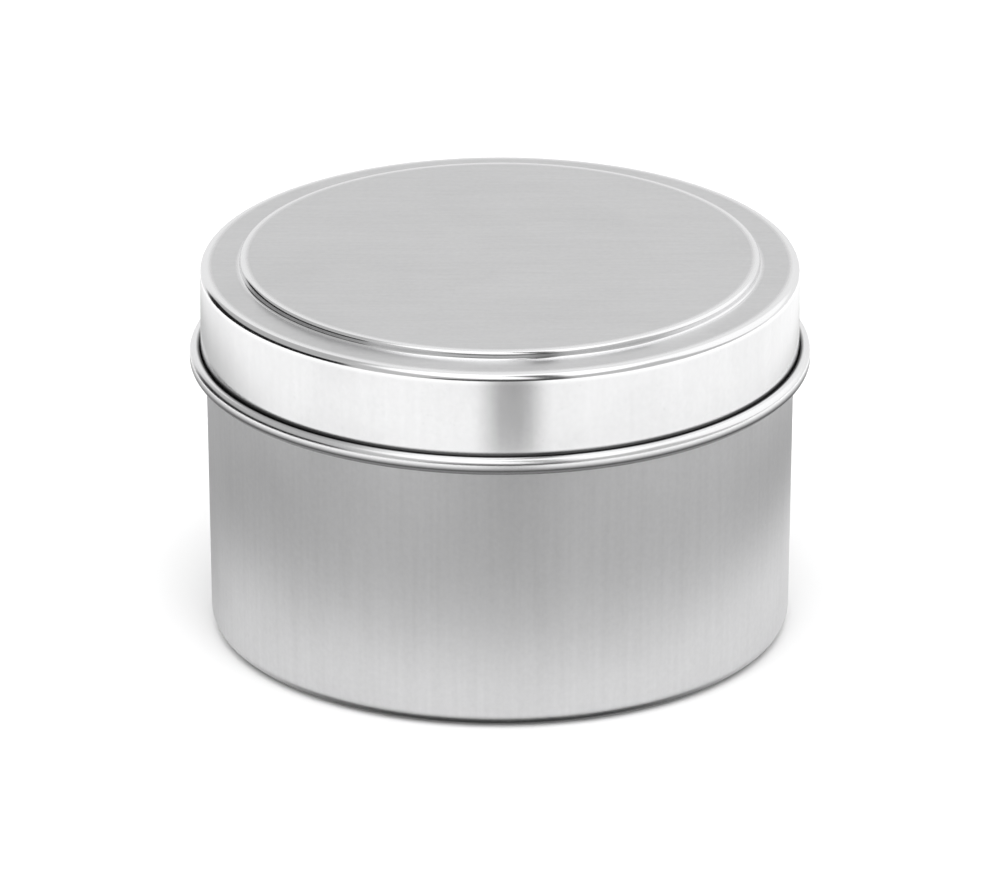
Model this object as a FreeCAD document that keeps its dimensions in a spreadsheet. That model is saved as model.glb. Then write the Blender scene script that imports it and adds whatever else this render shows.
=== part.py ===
import FreeCAD, Part
import math
import os
import Sketcher

# Round seamless candle tin with a slip lid, both pressed from thin tinplate.
# Frame: millimetres, +Z up along the tin's axis, origin at the centre of the base where the tin stands.
# Each pressing is the section of its sheet, turned once round the axis, then rounded edge by edge.

doc = FreeCAD.newDocument("candle_tin")

# ---------------------------------------------------------------- sizes

sizes = doc.addObject("Spreadsheet::Sheet", "Sizes")
driving_sizes = [
    ("body_diameter", 76.8, "outside of the wall below the step"),
    ("body_height", 49.35, "from the standing ring to the top of the rim"),
    ("sheet", 0.25, "thickness of the tinplate in both pressings"),
    ("wall_draft", 0.5, "how far the wall draws in, on the radius, from the step to the base"),
    ("base_round", 2.3, "outside radius of the corner at the base"),
    ("recess_diameter", 63.0, "inside of the standing ring"),
    ("recess_depth", 0.6, "how far the base panel is held off the table"),
    ("recess_round", 0.5, "radius of the bends beside the base panel"),
    ("neck_step", 0.45, "how much smaller the neck is than the wall, on the radius"),
    ("step_drop", 11.6, "from the top of the rim down to the middle of the step"),
    ("step_run", 1.4, "height of the step before its bends are rounded"),
    ("step_round", 5.0, "radius of the soft bends above and below the step"),
    ("rim_roll", 1.5, "outside diameter of the rolled rim"),
    ("rim_turn", 300.0, "degrees that the rim's edge is rolled through"),
    ("seat_gap", 0.1, "air between the rim and the lid that rests on it"),
    ("skirt_clearance", 0.45, "air between the wall and the inside of the lid's skirt, on the radius"),
    ("skirt_height", 13.4, "from the lid's flat ring down to the underside of its bead"),
    ("lid_round", 0.9, "outside radius of the lid's top edge"),
    ("ring_width", 5.2, "from the skirt's outside in to the raised panel"),
    ("panel_rise", 1.1, "how far the centre panel stands above the flat ring"),
    ("panel_round", 0.5, "outside radius of the raised panel's edge"),
    ("panel_root", 0.35, "radius where the raised panel meets the flat ring"),
    ("bead_width", 1.7, "from the skirt's inside to the outside of the bead"),
    ("bead_height", 2.3, "height of the bead"),
    ("bead_turn", 125.0, "degrees from the bead's widest side round to its edge"),
]
for row, (alias, value, note) in enumerate(driving_sizes, start=1):
    sizes.set(f"A{row}", alias)
    sizes.set(f"B{row}", str(value))
    sizes.set(f"C{row}", note)
    sizes.setAlias(f"B{row}", alias)
doc.recompute()

# Lengths that follow from the driving sizes, as expressions.
wall_radius = "Sizes.body_diameter / 2"
foot_radius = f"{wall_radius} - Sizes.wall_draft"
neck_radius = f"{wall_radius} - Sizes.neck_step"
recess_radius = "Sizes.recess_diameter / 2"
ring_radius = f"{recess_radius} + Sizes.recess_depth"
base_top = "Sizes.recess_depth + Sizes.sheet"
rim_height = "Sizes.body_height - Sizes.rim_roll / 2"
rim_middle = f"{neck_radius} - Sizes.rim_roll / 2"
step_low = "Sizes.body_height - Sizes.step_drop - Sizes.step_run / 2"
step_high = "Sizes.body_height - Sizes.step_drop + Sizes.step_run / 2"
skirt_radius = f"{wall_radius} + Sizes.skirt_clearance + Sizes.sheet"
panel_radius = f"{skirt_radius} - Sizes.ring_width"
panel_inside = f"{panel_radius} - Sizes.sheet"
bead_radius = "Sizes.bead_width / 2"
bead_middle = f"{skirt_radius} - Sizes.sheet + {bead_radius}"
bead_low = f"Sizes.sheet - Sizes.skirt_height + {bead_radius}"
bead_high = f"Sizes.sheet - Sizes.skirt_height + Sizes.bead_height - {bead_radius}"
bend_shift = "Sizes.sheet * tan(22.5 deg)"
step_slope = "hypot(Sizes.step_run; Sizes.neck_step)"
step_half_turn = "atan(Sizes.neck_step / Sizes.step_run) / 2"
step_bend = f"min(Sizes.step_round; 0.45 * {step_slope} / tan({step_half_turn}))"

# Each rounded corner is drawn this small, and then takes its own radius from the sheet.
first_round = 0.05


# ---------------------------------------------------------------- sketches and features

def sketch_section(body, name):
    """A sketch on the body's own XZ plane, so that across is the radius and up is the height."""
    sketch = body.newObject("Sketcher::SketchObject", name)
    plane = next(item for item in body.Origin.OriginFeatures if item.Role == "XZ_Plane")
    sketch.AttachmentSupport = [(plane, "")]
    sketch.MapMode = "FlatFace"
    return sketch


def bind(sketch, name, constraint, expression):
    """Adds a named dimension to the sketch and ties it to an expression."""
    index = sketch.addConstraint(constraint)
    sketch.renameConstraint(index, name)
    sketch.setExpression(f"Constraints.{name}", expression)


def place(sketch, geometry, end, name, radius, height):
    """Holds one point of the sketch at a radius and a height."""
    bind(sketch, f"{name}_radius", Sketcher.Constraint("DistanceX", -1, 1, geometry, end, 1.0), radius)
    bind(sketch, f"{name}_height", Sketcher.Constraint("DistanceY", -1, 1, geometry, end, 1.0), height)


def draw_outline(sketch, corners):
    """Draws a closed outline through named corners, then rounds those that have a radius."""
    lines = []
    for step in range(len(corners)):
        start = FreeCAD.Vector(step, step % 2, 0)
        finish = FreeCAD.Vector(step + 1, (step + 1) % 2, 0)
        lines.append(sketch.addGeometry(Part.LineSegment(start, finish)))
    for line, following in zip(lines, lines[1:] + lines[:1]):
        sketch.addConstraint(Sketcher.Constraint("Coincident", line, 2, following, 1))
    for line, (name, radius, height, rounding) in zip(lines, corners):
        place(sketch, line, 1, name, radius, height)
    doc.recompute()
    for line, (name, radius, height, rounding) in zip(lines, corners):
        if rounding is None:
            continue
        bend = sketch.GeometryCount
        sketch.fillet(line, 1, first_round, True, True)
        bind(sketch, f"{name}_round", Sketcher.Constraint("Radius", bend, first_round), rounding)
    doc.recompute()


def draw_bend(sketch, name, middle, outside, first, last):
    """Draws the outer and inner arc of a rolled edge, anticlockwise between two angles in degrees."""
    centre = sketch.addGeometry(Part.Point(FreeCAD.Vector(1, 1, 0)), True)
    place(sketch, centre, 1, name, *middle)
    doc.recompute()
    arcs = []
    for radius in (outside, outside - sizes.sheet):
        circle = Part.Circle(sketch.getPoint(centre, 1), FreeCAD.Vector(0, 0, 1), radius)
        bend = sketch.addGeometry(Part.ArcOfCircle(circle, math.radians(first), math.radians(last)))
        sketch.addConstraint(Sketcher.Constraint("Coincident", bend, 3, centre, 1))
        arcs.append(bend)
    return arcs


def size_bend(sketch, name, arcs, outside):
    """Ties a bend's two radii to its outside radius and the sheet."""
    outer, inner = arcs
    size = sketch.Geometry[outer].Radius
    bind(sketch, f"{name}_outside", Sketcher.Constraint("Radius", outer, size), outside)
    bind(sketch, f"{name}_inside", Sketcher.Constraint("Radius", inner, size - sizes.sheet),
         f"{outside} - Sizes.sheet")


def level_ends(sketch, arcs, end):
    """Puts one end of each arc level with its middle."""
    for bend in arcs:
        sketch.addConstraint(Sketcher.Constraint("Horizontal", bend, end, bend, 3))


def join(sketch, first, first_end, second, second_end):
    """Draws a line from one point of the sketch to another."""
    start = sketch.getPoint(first, first_end)
    finish = sketch.getPoint(second, second_end)
    line = sketch.addGeometry(Part.LineSegment(start, finish))
    sketch.addConstraint(Sketcher.Constraint("Coincident", line, 1, first, first_end))
    sketch.addConstraint(Sketcher.Constraint("Coincident", line, 2, second, second_end))
    return line


def cut_square(sketch, name, arcs, turn):
    """Ends a bend with a cut that points at its middle, at an angle in degrees."""
    outer, inner = arcs
    line = join(sketch, inner, 2, outer, 2)
    sketch.addConstraint(Sketcher.Constraint("PointOnObject", outer, 3, line))
    angle = Sketcher.Constraint("Angle", line, math.radians(turn))
    bind(sketch, f"{name}_turn", angle, f"Sizes.{name}_turn * 1 deg")


def revolve(body, name, sketch):
    """Turns a section once round the body's axis and checks that it added metal."""
    before = 0.0 if body.Tip is None else body.Shape.Volume
    solid = body.newObject("PartDesign::Revolution", name)
    solid.Profile = sketch
    solid.ReferenceAxis = (sketch, ["V_Axis"])
    solid.Angle = 360
    doc.recompute()
    if body.Shape.Volume <= before:
        raise RuntimeError(f"{name} added nothing")


# ---------------------------------------------------------------- tin body

tin_body = doc.addObject("PartDesign::Body", "TinBody")
tin_body.Label = "tin_body"

wall_section = sketch_section(tin_body, "WallSection")
draw_outline(wall_section, [
    ("base_under", "0", "Sizes.recess_depth", None),
    ("recess_edge", recess_radius, "Sizes.recess_depth", "Sizes.recess_round"),
    ("ring_inner", ring_radius, "0", "Sizes.recess_round"),
    ("foot", foot_radius, "0", "Sizes.base_round"),
    ("step_foot", wall_radius, step_low, step_bend),
    ("step_head", neck_radius, step_high, step_bend),
    ("neck_head", neck_radius, rim_height, None),
    ("neck_head_inside", f"{neck_radius} - Sizes.sheet", rim_height, None),
    ("step_head_inside", f"{neck_radius} - Sizes.sheet", step_high, step_bend),
    ("step_foot_inside", f"{wall_radius} - Sizes.sheet", step_low, step_bend),
    ("foot_inside", f"{foot_radius} - Sizes.sheet", "Sizes.sheet", "Sizes.base_round - Sizes.sheet"),
    ("ring_over", f"{ring_radius} + {bend_shift}", "Sizes.sheet", "Sizes.recess_round"),
    ("recess_over", f"{recess_radius} + {bend_shift}", base_top, "Sizes.recess_round"),
    ("base_over", "0", base_top, None),
])
revolve(tin_body, "Wall", wall_section)

rim_section = sketch_section(tin_body, "RimSection")
rim = draw_bend(rim_section, "rim", (rim_middle, rim_height), sizes.rim_roll / 2, 0, sizes.rim_turn)
level_ends(rim_section, rim, 1)
join(rim_section, rim[0], 1, rim[1], 1)
cut_square(rim_section, "rim", rim, sizes.rim_turn)
size_bend(rim_section, "rim", rim, "Sizes.rim_roll / 2")
revolve(tin_body, "RolledRim", rim_section)

# ---------------------------------------------------------------- lid

# The lid's own frame has its zero where the underside of its flat ring sits over the rim.
lid = doc.addObject("PartDesign::Body", "Lid")
lid.Label = "lid"

lid_section = sketch_section(lid, "LidSection")
draw_outline(lid_section, [
    ("panel_over", "0", "Sizes.sheet + Sizes.panel_rise", None),
    ("panel_edge", panel_radius, "Sizes.sheet + Sizes.panel_rise", "Sizes.panel_round"),
    ("panel_root", panel_radius, "Sizes.sheet", "Sizes.panel_root"),
    ("lid_edge", skirt_radius, "Sizes.sheet", "Sizes.lid_round"),
    ("skirt_end", skirt_radius, bead_low, None),
    ("skirt_end_inside", f"{skirt_radius} - Sizes.sheet", bead_low, None),
    ("lid_edge_inside", f"{skirt_radius} - Sizes.sheet", "0", "Sizes.lid_round - Sizes.sheet"),
    ("panel_root_inside", panel_inside, "0", "Sizes.panel_root + Sizes.sheet"),
    ("panel_edge_inside", panel_inside, "Sizes.panel_rise", "Sizes.panel_round - Sizes.sheet"),
    ("panel_under", "0", "Sizes.panel_rise", None),
])
revolve(lid, "Cap", lid_section)

bead_section = sketch_section(lid, "BeadSection")
low = draw_bend(bead_section, "low", (bead_middle, bead_low), sizes.bead_width / 2, 180, 360)
high = draw_bend(bead_section, "high", (bead_middle, bead_high), sizes.bead_width / 2, 0, sizes.bead_turn)
level_ends(bead_section, low, 1)
level_ends(bead_section, low, 2)
level_ends(bead_section, high, 1)
join(bead_section, low[0], 1, low[1], 1)
join(bead_section, low[0], 2, high[0], 1)
join(bead_section, low[1], 2, high[1], 1)
cut_square(bead_section, "bead", high, sizes.bead_turn)
size_bend(bead_section, "low", low, bead_radius)
size_bend(bead_section, "high", high, bead_radius)
revolve(lid, "Bead", bead_section)

lid.setExpression("Placement.Base.z", "Sizes.body_height + Sizes.seat_gap")
doc.recompute()

# ---------------------------------------------------------------- checks and files

for item in doc.Objects:
    if "Invalid" in item.State or "Error" in item.State:
        raise RuntimeError(f"{item.Label} failed: {item.State}")

sub_parts = [tin_body, lid]
for sub_part in sub_parts:
    shape = sub_part.Shape
    if shape.isNull() or not shape.isValid() or len(shape.Solids) != 1:
        raise RuntimeError(f"{sub_part.Label} is not one valid solid")

os.makedirs("parts", exist_ok=True)
for sub_part in sub_parts:
    sub_part.Shape.exportStep(f"parts/{sub_part.Label}.step")
    box = sub_part.Shape.optimalBoundingBox()
    print(f"{sub_part.Label}: {sub_part.Shape.Volume:.1f} mm3, {box.XLength:.2f} x {box.YLength:.2f} mm,"
          f" from {box.ZMin:.2f} to {box.ZMax:.2f} mm")
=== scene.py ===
import math

import bmesh
import bpy
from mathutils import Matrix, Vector


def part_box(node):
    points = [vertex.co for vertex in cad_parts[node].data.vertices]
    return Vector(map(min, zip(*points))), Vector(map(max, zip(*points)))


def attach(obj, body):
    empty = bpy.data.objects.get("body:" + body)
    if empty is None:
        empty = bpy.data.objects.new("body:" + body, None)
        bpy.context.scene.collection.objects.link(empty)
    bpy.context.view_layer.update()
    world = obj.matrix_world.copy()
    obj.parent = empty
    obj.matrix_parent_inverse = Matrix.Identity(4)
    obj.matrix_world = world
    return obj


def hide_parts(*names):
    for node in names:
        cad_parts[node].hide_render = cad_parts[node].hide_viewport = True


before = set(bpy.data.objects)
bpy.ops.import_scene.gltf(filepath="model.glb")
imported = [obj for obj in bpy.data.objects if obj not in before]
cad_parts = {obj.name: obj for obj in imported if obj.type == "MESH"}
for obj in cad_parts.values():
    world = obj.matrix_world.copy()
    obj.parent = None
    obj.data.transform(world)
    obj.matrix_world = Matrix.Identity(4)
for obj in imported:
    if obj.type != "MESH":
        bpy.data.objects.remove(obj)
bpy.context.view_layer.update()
mm = 0.001
doublesWithin = 0.002 * mm

tinLow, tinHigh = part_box("tin_body")
lidLow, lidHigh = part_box("lid")
print("frame loaded")


# sheet metal: a line of few points in the XZ plane, rounded, then spun round the tin's axis

def drawLine(bm, points):
    verts = [bm.verts.new((x, 0, z)) for x, z in points]
    for first, second in zip(verts, verts[1:]):
        bm.edges.new((first, second))
    return verts


def roundCorner(bm, vert, radius, segments):
    ahead, behind = [(edge.other_vert(vert).co - vert.co).normalized() for edge in vert.link_edges]
    turn = math.pi - ahead.angle(behind)
    bmesh.ops.bevel(bm, geom=[vert], offset=radius * math.tan(turn / 2), offset_type="OFFSET",
                    affect="VERTICES", segments=segments, profile=0.5, material=-1)


# turns the line's end about a point of the XZ plane, and gives back the new end
def rollEdge(bm, vert, middle, degrees, steps):
    made = bmesh.ops.spin(bm, geom=[vert], cent=(middle[0], 0, middle[1]), axis=(0, -1, 0),
                          angle=math.radians(degrees), steps=steps)
    return [item for item in made["geom_last"] if isinstance(item, bmesh.types.BMVert)][0]


def spinSheet(name, bm, around, sheet):
    bmesh.ops.spin(bm, geom=bm.verts[:] + bm.edges[:], cent=(0, 0, 0), axis=(0, 0, 1), angle=math.tau,
                   steps=around, use_merge=True)
    bmesh.ops.remove_doubles(bm, verts=bm.verts[:], dist=doublesWithin)
    bmesh.ops.recalc_face_normals(bm, faces=bm.faces[:])
    middleFace = min(bm.faces, key=lambda face: face.calc_center_median().xy.length)
    if middleFace.normal.z > 0:  # both sheets are drawn on their lower side, and thicken upwards
        bmesh.ops.reverse_faces(bm, faces=bm.faces[:])
    mesh = bpy.data.meshes.new(name)
    bm.to_mesh(mesh)
    bm.free()
    mesh.shade_smooth()
    piece = bpy.data.objects.new(name, mesh)
    bpy.context.scene.collection.objects.link(piece)
    wall = piece.modifiers.new("sheet thickness", "SOLIDIFY")
    wall.thickness = sheet
    wall.offset = -1
    wall.use_even_offset = True
    flat = piece.modifiers.new("flat panels", "WEIGHTED_NORMAL")
    flat.mode = "FACE_AREA"
    flat.keep_sharp = True
    return piece


tin = {
    "sheet": 0.25 * mm,
    "recessRadius": 31.5 * mm,
    "recessDepth": 0.6 * mm,
    "recessRound": 0.5 * mm,
    "baseRound": 2.3 * mm,
    "wallDraft": 0.5 * mm,
    "neckStep": 0.45 * mm,
    "stepDrop": 11.6 * mm,
    "stepRun": 1.4 * mm,
    "stepRound": 4.1 * mm,
    "rimRoll": 1.5 * mm,
    "rimTurn": 300,
    "around": 192,  # steps round the axis
    "bend": 8,  # steps in each rounded corner
    "roll": 26,  # steps in the rolled rim
}


def makeTin(size):
    wallRadius = tinHigh.x
    neckRadius = wallRadius - size["neckStep"]
    stepMiddle = tinHigh.z - size["stepDrop"]
    rimHeight = tinHigh.z - size["rimRoll"] / 2
    bm = bmesh.new()
    corners = drawLine(bm, [
        (0, size["recessDepth"]),
        (size["recessRadius"], size["recessDepth"]),
        (size["recessRadius"] + size["recessDepth"], 0),
        (wallRadius - size["wallDraft"], 0),
        (wallRadius, stepMiddle - size["stepRun"] / 2),
        (neckRadius, stepMiddle + size["stepRun"] / 2),
        (neckRadius, rimHeight),
    ])
    rollEdge(bm, corners[6], (neckRadius - size["rimRoll"] / 2, rimHeight), size["rimTurn"], size["roll"])
    rounds = ("recessRound", "recessRound", "baseRound", "stepRound", "stepRound")
    for corner, radius in zip(corners[1:6], rounds):
        roundCorner(bm, corner, size[radius], size["bend"])
    return spinSheet("tin_shell", bm, size["around"], size["sheet"])


lid = {
    "sheet": 0.25 * mm,
    "ringWidth": 5.2 * mm,
    "panelRise": 1.1 * mm,
    "panelRound": 0.5 * mm,
    "panelRoot": 0.35 * mm,  # the hollow corner at the panel's foot
    "edgeRound": 0.9 * mm,
    "beadWidth": 1.7 * mm,
    "beadHeight": 2.3 * mm,
    "beadTurn": 125,
    "around": 192,
    "bend": 8,
    "roll": 14,
}


def makeLid(size):
    sheet = size["sheet"]
    beadRadius = size["beadWidth"] / 2
    skirtInside = lidHigh.x - size["beadWidth"]
    panelInside = skirtInside - size["ringWidth"]
    ringUnder = lidHigh.z - size["panelRise"] - sheet
    beadLow = lidLow.z + beadRadius
    beadHigh = lidLow.z + size["beadHeight"] - beadRadius
    beadMiddle = skirtInside + beadRadius
    bm = bmesh.new()
    corners = drawLine(bm, [
        (0, lidHigh.z - sheet),
        (panelInside, lidHigh.z - sheet),
        (panelInside, ringUnder),
        (skirtInside, ringUnder),
        (skirtInside, beadLow),
    ])
    lowEnd = rollEdge(bm, corners[4], (beadMiddle, beadLow), 180, size["roll"])
    highStart = bm.verts.new(lowEnd.co + Vector((0, 0, beadHigh - beadLow)))
    bm.edges.new((lowEnd, highStart))
    rollEdge(bm, highStart, (beadMiddle, beadHigh), size["beadTurn"], size["roll"])
    roundCorner(bm, corners[1], size["panelRound"] - sheet, size["bend"])
    roundCorner(bm, corners[2], size["panelRoot"] + sheet, size["bend"])
    roundCorner(bm, corners[3], size["edgeRound"] - sheet, size["bend"])
    return spinSheet("slip_lid", bm, size["around"], sheet)


tinShell = makeTin(tin)
slipLid = makeLid(lid)
print("tin and lid made")


# nodes: small helpers, then the effects that the finishes share

def setInputs(tree, node, values):
    for socket, value in values.items():
        if isinstance(value, bpy.types.NodeSocket):
            tree.links.new(value, node.inputs[socket])
        else:
            node.inputs[socket].default_value = value


def addNode(tree, kind, values=None, **settings):
    node = tree.nodes.new("ShaderNode" + kind)
    for name, setting in settings.items():
        setattr(node, name, setting)
    setInputs(tree, node, values or {})
    return node


def calc(tree, operation, *values):
    return addNode(tree, "Math", dict(enumerate(values)), operation=operation).outputs[0]


# 0 before start, 1 past end, smooth between; it runs downwards when start is the larger
def ramp(tree, value, start, end):
    return addNode(tree, "MapRange", {"Value": value, "From Min": start, "From Max": end},
                   interpolation_type="SMOOTHSTEP").outputs[0]


def blend(tree, share, first, second):
    return addNode(tree, "Mix", {"Factor": share, "A": first, "B": second}).outputs[0]


# adds a pattern to a value, centred on its middle and scaled
def vary(tree, value, pattern, amount):
    return calc(tree, "MULTIPLY_ADD", calc(tree, "SUBTRACT", pattern, 0.5), amount, value)


def scaled(tree, vector, factors):
    return addNode(tree, "VectorMath", {0: vector, 1: factors}, operation="MULTIPLY").outputs[0]


def dot(tree, first, second):
    return addNode(tree, "VectorMath", {0: first, 1: second}, operation="DOT_PRODUCT").outputs["Value"]


def heightOf(tree, vector):
    return addNode(tree, "SeparateXYZ", {0: vector}).outputs["Z"]


def newEffect(name, inputs, outputs):
    effect = bpy.data.node_groups.new(name, "ShaderNodeTree")
    for socketName, start in inputs.items():
        kind = "NodeSocketVector" if start is None else "NodeSocketFloat"
        socket = effect.interface.new_socket(name=socketName, in_out="INPUT", socket_type=kind)
        if start is not None:
            socket.default_value = start
    for socketName in outputs:
        effect.interface.new_socket(name=socketName, in_out="OUTPUT", socket_type="NodeSocketFloat")
    return effect, effect.nodes.new("NodeGroupInput"), effect.nodes.new("NodeGroupOutput")


def placeEffect(tree, effect, values):
    node = tree.nodes.new("ShaderNodeGroup")
    node.node_tree = effect
    setInputs(tree, node, values)
    return node


# fine parallel lines: rolling lines across the sheet, or drawing lines up a wall
lineShape = {
    "fineDetail": 1.5,
    "fineRoughness": 0.6,
    "bandScale": 0.12,  # bands are this share of the lines' scale
    "bandDetail": 2.0,
    "bandRoughness": 0.5,
}


def makeLines(shape):
    inputs = {"Place": None, "Stretch": None, "Lines per mm": 3.0}
    effect, given, result = newEffect("fine lines", inputs, ["Lines", "Bands"])
    stretched = scaled(effect, given.outputs["Place"], given.outputs["Stretch"])
    fineScale = calc(effect, "MULTIPLY", given.outputs["Lines per mm"], 1 / mm)
    bandScale = calc(effect, "MULTIPLY", fineScale, shape["bandScale"])
    fine = addNode(effect, "TexNoise", {"Vector": stretched, "Scale": fineScale,
                                        "Detail": shape["fineDetail"], "Roughness": shape["fineRoughness"]})
    broad = addNode(effect, "TexNoise", {"Vector": stretched, "Scale": bandScale,
                                         "Detail": shape["bandDetail"], "Roughness": shape["bandRoughness"]})
    effect.links.new(fine.outputs["Fac"], result.inputs["Lines"])
    effect.links.new(broad.outputs["Fac"], result.inputs["Bands"])
    return effect


# what hands and packing leave: soft smudges, a fine mottle and a few hairline scratches
markShape = {
    "smudgeDetail": 3.0,
    "smudgeRoughness": 0.55,
    "smudgeDistortion": 0.6,
    "smudgeFrom": 0.38,
    "smudgeFull": 0.72,
    "mottleScale": 1500.0,
    "mottleDetail": 1.5,
    "mottleRoughness": 0.6,
    "hairlineTurns": (20, 95, -40),  # degrees
    "hairlineStretch": (0.04, 1, 1),
    "hairlineScale": 2800.0,
    "hairlineDetail": 0.0,
    "hairlineFrom": 0.8,
    "hairlineFull": 0.88,
}


def makeMarks(shape):
    inputs = {"Place": None, "Smudge mm": 14.0, "Scratches": 0.5}
    effect, given, result = newEffect("handling marks", inputs, ["Smudges", "Scratches", "Mottle"])
    place = given.outputs["Place"]
    smudgeScale = calc(effect, "DIVIDE", 1 / mm, given.outputs["Smudge mm"])
    smudge = addNode(effect, "TexNoise", {
        "Vector": place,
        "Scale": smudgeScale,
        "Detail": shape["smudgeDetail"],
        "Roughness": shape["smudgeRoughness"],
        "Distortion": shape["smudgeDistortion"],
    })
    smudges = ramp(effect, smudge.outputs["Fac"], shape["smudgeFrom"], shape["smudgeFull"])
    effect.links.new(smudges, result.inputs["Smudges"])
    mottle = addNode(effect, "TexNoise", {
        "Vector": place,
        "Scale": shape["mottleScale"],
        "Detail": shape["mottleDetail"],
        "Roughness": shape["mottleRoughness"],
    })
    effect.links.new(mottle.outputs["Fac"], result.inputs["Mottle"])
    # hairlines: long thin noise, turned a few ways, of which only the peaks are kept
    hairlines = 0.0
    for turn in shape["hairlineTurns"]:
        turned = addNode(effect, "VectorRotate", {"Vector": place, "Angle": math.radians(turn)},
                         rotation_type="Z_AXIS").outputs[0]
        thin = addNode(effect, "TexNoise", {
            "Vector": scaled(effect, turned, shape["hairlineStretch"]),
            "Scale": shape["hairlineScale"],
            "Detail": shape["hairlineDetail"],
        })
        peaks = ramp(effect, thin.outputs["Fac"], shape["hairlineFrom"], shape["hairlineFull"])
        hairlines = calc(effect, "MAXIMUM", peaks, hairlines)
    scratches = calc(effect, "MULTIPLY", hairlines, given.outputs["Scratches"])
    effect.links.new(scratches, result.inputs["Scratches"])
    return effect


# a ring round the axis, at one radius and height: the rim, the bead, a rounded edge
ringFade = {"full": 0.6, "gone": 1.4}  # shares of the ring's width


def makeRing(fade):
    inputs = {"Place": None, "Radius": 0.04, "Height": 0.04, "Width": 0.001}
    effect, given, result = newEffect("edge ring", inputs, ["Ring"])
    split = addNode(effect, "SeparateXYZ", {0: given.outputs["Place"]})
    level = addNode(effect, "CombineXYZ", {"X": split.outputs["X"], "Y": split.outputs["Y"]})
    radius = addNode(effect, "VectorMath", {0: level.outputs[0]}, operation="LENGTH").outputs["Value"]
    across = calc(effect, "SUBTRACT", radius, given.outputs["Radius"])
    along = calc(effect, "SUBTRACT", split.outputs["Z"], given.outputs["Height"])
    acrossSquared = calc(effect, "MULTIPLY", across, across)
    alongSquared = calc(effect, "MULTIPLY", along, along)
    apart = calc(effect, "SQRT", calc(effect, "ADD", acrossSquared, alongSquared))
    share = calc(effect, "DIVIDE", apart, given.outputs["Width"])
    effect.links.new(ramp(effect, share, fade["gone"], fade["full"]), result.inputs["Ring"])
    return effect


fineLines = makeLines(lineShape)
handlingMarks = makeMarks(markShape)
edgeRing = makeRing(ringFade)


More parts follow.
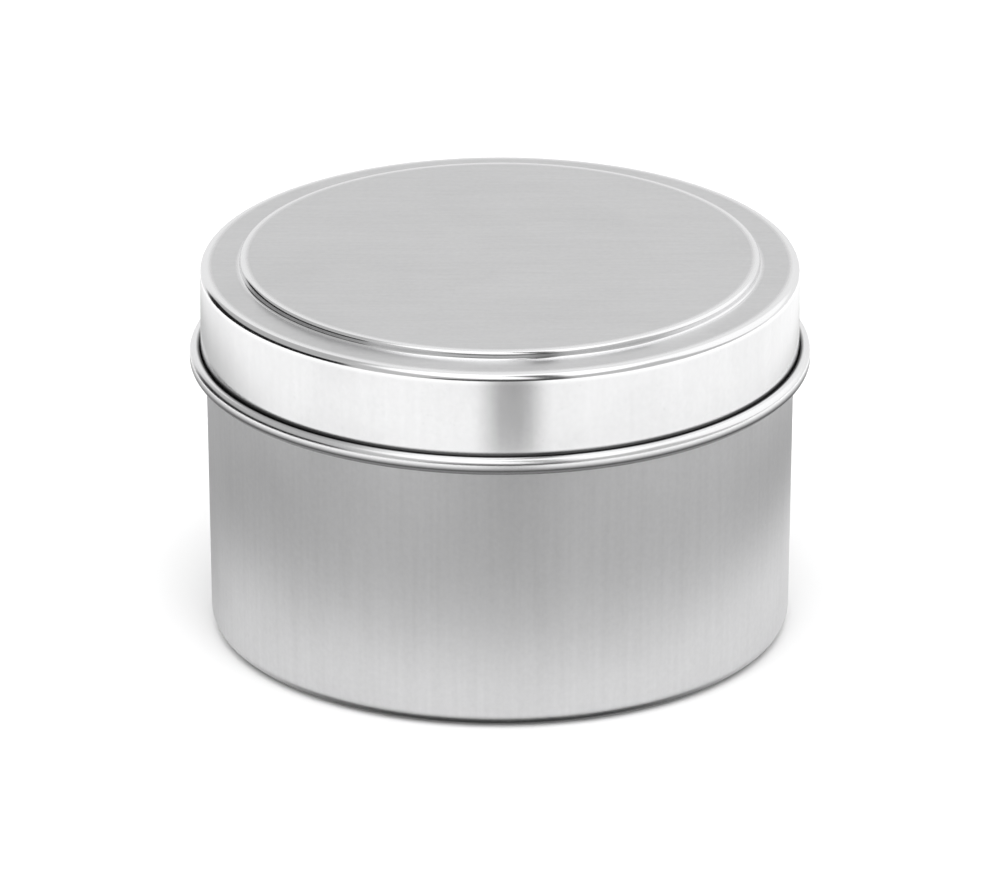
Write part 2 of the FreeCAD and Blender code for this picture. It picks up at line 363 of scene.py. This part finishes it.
# one tinplate finish: flat sheet keeps its rolling lines, walls carry drawing lines,
# worked edges get a polish and a painted highlight, crease lines get painted shade, and flat faces can take a
# painted shade
def makeTinplate(name, look):
    material = bpy.data.materials.new(name)
    material.use_nodes = True
    tree = material.node_tree
    place = addNode(tree, "TexCoord").outputs["Object"]
    facing = calc(tree, "ABSOLUTE", heightOf(tree, addNode(tree, "NewGeometry").outputs["Normal"]))
    flat = ramp(tree, facing, look["flatFrom"], look["flatFull"])

    rolled = placeEffect(tree, fineLines, {"Place": place, "Stretch": look["rollingStretch"],
                                           "Lines per mm": look["rollingLines"]})
    drawn = placeEffect(tree, fineLines, {"Place": place, "Stretch": look["drawingStretch"],
                                          "Lines per mm": look["drawingLines"]})
    marks = placeEffect(tree, handlingMarks, {"Place": place, "Smudge mm": look["smudgeSize"],
                                              "Scratches": look["scratches"]})
    lines = blend(tree, flat, drawn.outputs["Lines"], rolled.outputs["Lines"])
    bands = blend(tree, flat, drawn.outputs["Bands"], rolled.outputs["Bands"])
    mottle = marks.outputs["Mottle"]
    smudges = marks.outputs["Smudges"]

    def ringMask(radius, height, width):
        values = {"Place": place, "Radius": radius, "Height": height, "Width": width}
        return placeEffect(tree, edgeRing, values).outputs["Ring"]

    roughness = blend(tree, flat, look["wallRoughness"], look["flatRoughness"])
    roughness = vary(tree, roughness, lines, look["lineRoughness"])
    roughness = vary(tree, roughness, bands, look["bandRoughness"])
    roughness = vary(tree, roughness, smudges, look["smudgeRoughness"])
    roughness = calc(tree, "MULTIPLY_ADD", marks.outputs["Scratches"], look["scratchRoughness"], roughness)
    # the worked-edge mask: it fades the grain where the edges are worked, and carries the painted highlight
    # below
    polishAndHighlight = 0.0
    for radius, height, width, smooth in look["workedEdges"]:
        ring = ringMask(radius, height, width)
        roughness = blend(tree, ring, roughness, smooth)
        polishAndHighlight = calc(tree, "MAXIMUM", ring, polishAndHighlight)
    unworked = calc(tree, "SUBTRACT", 1.0, polishAndHighlight)
    scratches = calc(tree, "MULTIPLY", marks.outputs["Scratches"], unworked)

    shade = calc(tree, "MULTIPLY", calc(tree, "SUBTRACT", bands, 0.5), look["bandShade"])
    shade = vary(tree, shade, lines, look["lineShade"])
    shade = vary(tree, shade, mottle, look["mottleShade"])
    shade = calc(tree, "MULTIPLY_ADD", shade, unworked, 1.0)
    shade = calc(tree, "MULTIPLY_ADD", smudges, -look["smudgeShade"], shade)
    # painted highlight: the worked edges' colour is lifted above the sheet's so their reflections read white
    shade = calc(tree, "MULTIPLY_ADD", polishAndHighlight, look["paintedEdgeHighlight"], shade)
    # painted shade: flat faces are darkened so that the lid's top, facing the brightest light, stays grey
    flatShadeShare = calc(tree, "MULTIPLY", calc(tree, "MULTIPLY", flat, unworked), look["flatPaintedShade"])
    shade = calc(tree, "MULTIPLY", shade, calc(tree, "SUBTRACT", 1.0, flatShadeShare))
    # painted shade: dark rings along the crease lines above and under the bead and at the base's contact with
    # the floor, where shade falls
    for radius, height, width, dark in look["paintedCreaseShade"]:
        shade = blend(tree, ringMask(radius, height, width), shade, dark)
    colour = addNode(tree, "VectorMath", {0: look["colour"], "Scale": shade}, operation="SCALE").outputs[0]

    height = calc(tree, "MULTIPLY_ADD", mottle, look["mottleHeight"], lines)
    height = calc(tree, "MULTIPLY_ADD", scratches, -look["scratchDepth"], height)
    bump = addNode(tree, "Bump", {"Height": height, "Distance": look["bumpHeight"], "Strength": unworked})
    wave = addNode(tree, "TexNoise", {"Vector": place, "Scale": look["waveScale"],
                                      "Detail": look["waveDetail"]})
    waved = addNode(tree, "Bump", {"Height": wave.outputs["Fac"], "Distance": look["waveHeight"],
                                   "Normal": bump.outputs[0]})

    principled = tree.nodes["Principled BSDF"]
    principled.inputs["Metallic"].default_value = 1
    tree.links.new(colour, principled.inputs["Base Color"])
    tree.links.new(roughness, principled.inputs["Roughness"])
    tree.links.new(waved.outputs[0], principled.inputs["Normal"])
    return material


plainLook = {
    "colour": (0.66, 0.66, 0.665),
    "flatFrom": 0.75,  # how far a face looks up or down before it counts as flat sheet
    "flatFull": 0.98,
    "rollingStretch": (0.06, 1, 1),
    "rollingLines": 1.6,  # per mm
    "drawingStretch": (1, 1, 0.03),
    "drawingLines": 1.12,  # per mm
    "smudgeSize": 16.0,  # mm
    "scratches": 0.35,
    "workedEdges": [],  # radius, height, width, roughness
    # painted shade in the crease lines, where shade falls
    "paintedCreaseShade": [],  # radius, height, width, shade
    "wallRoughness": 0.42,
    "flatRoughness": 0.35,
    "lineRoughness": 0.05,
    "bandRoughness": 0.06,
    "smudgeRoughness": 0.04,
    "scratchRoughness": 0.2,
    "bandShade": 0.06,
    "lineShade": 0.11,
    "mottleShade": 0.10,
    "smudgeShade": 0.02,
    # painted highlight on the worked edges
    "paintedEdgeHighlight": 0.2,
    # painted shade on flat faces, against the brighter light they face
    "flatPaintedShade": 0.0,
    "mottleHeight": 0.5,
    "scratchDepth": 0.8,
    "bumpHeight": 0.002 * mm,
    "waveScale": 60.0,
    "waveDetail": 1.0,
    "waveHeight": 0.02 * mm,
}

# where the edges get a polish and a painted highlight, and where painted shade darkens the crease lines
edges = {
    "edgeRoughness": 0.14,
    "panelEdgeWidth": 0.8 * mm,
    "beadRoughness": 0.24,
    "beadWidth": 0.8,  # share of the bead's height
    "beadTopDrop": 0.1 * mm,
    "beadTopWidth": 0.5 * mm,
    "beadTopPaintedShade": 0.3,
    "beadFootWidth": 1.05 * mm,
    "beadFootPaintedShade": 0.22,
    "baseInset": 1.6 * mm,
    "baseWidth": 1.2 * mm,
    "basePaintedShade": 0.5,
}

neckOutside = tinHigh.x - tin["neckStep"]
rimMiddle = tin["rimRoll"] / 2
skirtInside = lidHigh.x - lid["beadWidth"]
skirtOutside = skirtInside + lid["sheet"]
panelOutside = skirtInside - lid["ringWidth"]
ringHeight = lidHigh.z - lid["panelRise"]
halfRound = lid["edgeRound"] / 2
beadTall = lid["beadHeight"]
smooth = edges["edgeRoughness"]

rimEdge = (neckOutside - rimMiddle, tinHigh.z - rimMiddle, tin["rimRoll"], smooth)
panelEdge = (panelOutside, lidHigh.z - lid["panelRound"], edges["panelEdgeWidth"], smooth)
outerEdge = (skirtOutside - halfRound, ringHeight - halfRound, lid["edgeRound"], smooth)
bead = (skirtOutside + lid["beadWidth"] / 2, lidLow.z + beadTall / 2,
        beadTall * edges["beadWidth"], edges["beadRoughness"])
# painted shade rings: a dark line above the bead, one under it, and the base's contact line with the floor
beadTop = (skirtOutside, lidLow.z + beadTall - edges["beadTopDrop"],
           edges["beadTopWidth"], edges["beadTopPaintedShade"])
beadFoot = (lidHigh.x, lidLow.z, edges["beadFootWidth"], edges["beadFootPaintedShade"])
baseContactShade = (tinHigh.x - tin["wallDraft"] - edges["baseInset"], 0, edges["baseWidth"], edges["basePaintedShade"])

tinLook = dict(plainLook, workedEdges=[rimEdge], paintedCreaseShade=[baseContactShade])
lidLook = dict(
    plainLook,
    colour=(0.82, 0.82, 0.825),
    wallRoughness=0.16,
    flatRoughness=0.33,
    # painted shade on the lid's flat top
    flatPaintedShade=0.14,
    workedEdges=[bead, panelEdge, outerEdge],
    paintedCreaseShade=[beadTop, beadFoot],
)

tinShell.data.materials.append(makeTinplate("drawn tinplate", tinLook))
slipLid.data.materials.append(makeTinplate("bright tinplate", lidLook))
print("tinplate finishes made")

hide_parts("tin_body")
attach(tinShell, "tin")
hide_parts("lid")
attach(slipLid, "lid")


# studio: what the metal sees, as patches of light painted over each other by direction
# azimuth 0 is the camera's side and +90 the tin's right; angles in degrees, size is a patch's half angle;
# across keeps a narrow upright strip of a patch, and lowerThan only what is under that elevation
studio = {
    "ground": 0.5,
    "patches": [
        {"name": "back wall", "azimuth": 180, "elevation": 15, "size": 75, "soft": 30, "light": 0.81},
        {"name": "left side", "azimuth": -112, "elevation": 36, "size": 32, "soft": 12, "light": 0.42},
        {"name": "left gap", "azimuth": -100, "elevation": 0, "size": 42, "soft": 6, "light": 0.01,
         "lowerThan": 17},
        {"name": "right softbox", "azimuth": 112, "elevation": 32, "size": 32, "soft": 10, "light": 1.0},
        {"name": "key softbox", "azimuth": 10, "elevation": 63, "size": 38, "soft": 14, "light": 1.15},
        {"name": "camera side", "azimuth": 0, "elevation": -12, "size": 26, "soft": 10, "light": 0.06},
        {"name": "camera stand shade", "azimuth": 20, "elevation": 35, "size": 40, "soft": 4, "light": 0.08,
         "across": 5},
        {"name": "below", "azimuth": 0, "elevation": -90, "size": 40, "soft": 20, "light": 0.03},
    ],
    "floorGround": 1.0,  # the floor is lit by this and by the patch below
    "floorPatches": [
        {"name": "key for the floor", "azimuth": 0, "elevation": 58, "size": 36, "soft": 20, "light": 3.3},
    ],
    "background": 1.0,  # what the camera itself sees behind the tin
}


def direction(azimuth, elevation):
    turn = math.radians(azimuth)
    lift = math.radians(elevation)
    return Vector((math.cos(lift) * math.sin(turn), -math.cos(lift) * math.cos(turn), math.sin(lift)))


def paintLight(tree, looking, ground, patches):
    light = ground
    for patch in patches:
        size = math.radians(patch["size"])
        soft = math.radians(patch["soft"]) / 2
        towards = dot(tree, looking, direction(patch["azimuth"], patch["elevation"]))
        share = ramp(tree, towards, math.cos(size + soft), math.cos(size - soft))
        if "across" in patch:
            half = math.radians(patch["across"])
            sideways = calc(tree, "ABSOLUTE", dot(tree, looking, direction(patch["azimuth"] + 90, 0)))
            share = calc(tree, "MULTIPLY", share, ramp(tree, sideways, half + soft, half - soft))
        if "lowerThan" in patch:
            top = math.radians(patch["lowerThan"])
            low = ramp(tree, heightOf(tree, looking), top + soft, top - soft)
            share = calc(tree, "MULTIPLY", share, low)
        light = blend(tree, share, light, patch["light"])
    return light


def lightStudio(setup):
    world = bpy.data.worlds.new("studio")
    world.use_nodes = True
    tree = world.node_tree
    looking = addNode(tree, "TexCoord").outputs["Generated"]
    metalSees = paintLight(tree, looking, setup["ground"], setup["patches"])
    floorSees = paintLight(tree, looking, setup["floorGround"], setup["floorPatches"])
    path = addNode(tree, "LightPath")
    light = blend(tree, path.outputs["Is Diffuse Ray"], metalSees, floorSees)
    light = blend(tree, path.outputs["Is Camera Ray"], light, setup["background"])
    tree.links.new(light, tree.nodes["Background"].inputs["Strength"])
    tree.nodes["Background"].inputs["Color"].default_value = (1, 1, 1, 1)
    bpy.context.scene.world = world


# a pale round floor; in the metal it shows painted rings and sectors of grey shade, and ends at the table's
# edge
table = {
    "radius": 3.0,
    "segments": 96,
    "colour": (0.9, 0.9, 0.9),
    "roughness": 0.9,
    "openMiddle": 0.0382,  # clear under the tin, so that the base can be seen from below
    "openSoft": 0.5 * mm,
    "edge": 0.175,
    "edgeSoft": 0.05,
    "seenInMetal": 0.95,
    "sectorFull": 0.3,  # shares of a sector's half angle
    "sectorGone": 1.7,
    # painted shade and painted reflection on the floor, seen only in the metal: the tin's own shadow, a grey
    # band round it, a camera stand's shade
    "patches": [
        {"name": "below the lid", "inner": 0.11, "outer": 0.3, "soft": 0.02, "light": 0.85},
        {"name": "grey band", "inner": 0.068, "outer": 0.114, "soft": 0.03, "light": 0.3},
        {"name": "shaded side", "inner": 0.03, "outer": 0.13, "soft": 0.03, "light": 0.42,
         "azimuth": -150, "size": 48},
        {"name": "camera stand shade", "inner": 0.13, "outer": 0.3, "soft": 0.02, "light": 0.35,
         "azimuth": 4, "size": 8},
    ],
}


# paints the floor's shade as the metal sees it: painted shadow and painted reflection in rings and sectors
def paintFloor(tree, place, reach, setup):
    heading = addNode(tree, "VectorMath", {0: place}, operation="NORMALIZE").outputs[0]
    light = setup["seenInMetal"]
    for patch in setup["patches"]:
        soft = patch["soft"] / 2
        share = ramp(tree, reach, patch["inner"] - soft, patch["inner"] + soft)
        share = calc(tree, "MULTIPLY", share, ramp(tree, reach, patch["outer"] + soft, patch["outer"] - soft))
        if "size" in patch:
            turn = calc(tree, "ARCCOSINE", dot(tree, heading, direction(patch["azimuth"], 0)))
            half = math.radians(patch["size"])
            sector = ramp(tree, turn, half * setup["sectorGone"], half * setup["sectorFull"])
            share = calc(tree, "MULTIPLY", share, sector)
        light = blend(tree, share, light, patch["light"])
    return light


def makeFloor(setup):
    bm = bmesh.new()
    bmesh.ops.create_circle(bm, cap_ends=True, radius=setup["radius"], segments=setup["segments"])
    mesh = bpy.data.meshes.new("floor")
    bm.to_mesh(mesh)
    bm.free()
    floor = bpy.data.objects.new("floor", mesh)
    bpy.context.scene.collection.objects.link(floor)
    pale = bpy.data.materials.new("pale floor")
    pale.use_nodes = True
    tree = pale.node_tree
    place = addNode(tree, "TexCoord").outputs["Object"]
    reach = addNode(tree, "VectorMath", {0: place}, operation="LENGTH").outputs["Value"]
    mirrored = addNode(tree, "LightPath").outputs["Is Glossy Ray"]
    # painted shade: the floor keeps its plain colour to the camera and turns grey only where the metal
    # mirrors it
    shade = blend(tree, mirrored, 1.0, paintFloor(tree, place, reach, setup))
    colour = addNode(tree, "VectorMath", {0: setup["colour"], "Scale": shade}, operation="SCALE").outputs[0]
    principled = tree.nodes["Principled BSDF"]
    tree.links.new(colour, principled.inputs["Base Color"])
    principled.inputs["Roughness"].default_value = setup["roughness"]
    principled.inputs["Specular IOR Level"].default_value = 0
    # clear from below, and in reflections also past the edge and under the tin
    below = addNode(tree, "NewGeometry").outputs["Backfacing"]
    beyond = ramp(tree, reach, setup["edge"], setup["edge"] + setup["edgeSoft"])
    openMiddle = setup["openMiddle"]
    underTin = ramp(tree, reach, openMiddle + setup["openSoft"], openMiddle - setup["openSoft"])
    missing = calc(tree, "MULTIPLY", mirrored, calc(tree, "MAXIMUM", beyond, underTin))
    gone = calc(tree, "MAXIMUM", below, missing)
    clear = addNode(tree, "BsdfTransparent").outputs[0]
    mixed = addNode(tree, "MixShader", {0: gone, 1: principled.outputs[0], 2: clear})
    tree.links.new(mixed.outputs[0], tree.nodes["Material Output"].inputs["Surface"])
    floor.data.materials.append(pale)


lightStudio(studio)
makeFloor(table)
print("studio and floor made")

# camera: looks at the middle of the closed tin
view = {"elevation": 22.3, "distance": 1.66, "frameWidth": 0.131, "sensor": 36}

cameraData = bpy.data.cameras.new("camera")
cameraData.sensor_width = view["sensor"]
cameraData.lens = view["sensor"] * view["distance"] / view["frameWidth"]
camera = bpy.data.objects.new("camera", cameraData)
bpy.context.scene.collection.objects.link(camera)
target = Vector((0, 0, lidHigh.z / 2))
towardsCamera = direction(0, view["elevation"])
camera.location = target + towardsCamera * view["distance"]
camera.rotation_mode = "QUATERNION"
camera.rotation_quaternion = (-towardsCamera).to_track_quat("-Z", "Y")
bpy.context.scene.camera = camera
bpy.context.scene.view_settings.view_transform = "Standard"
print("camera set")
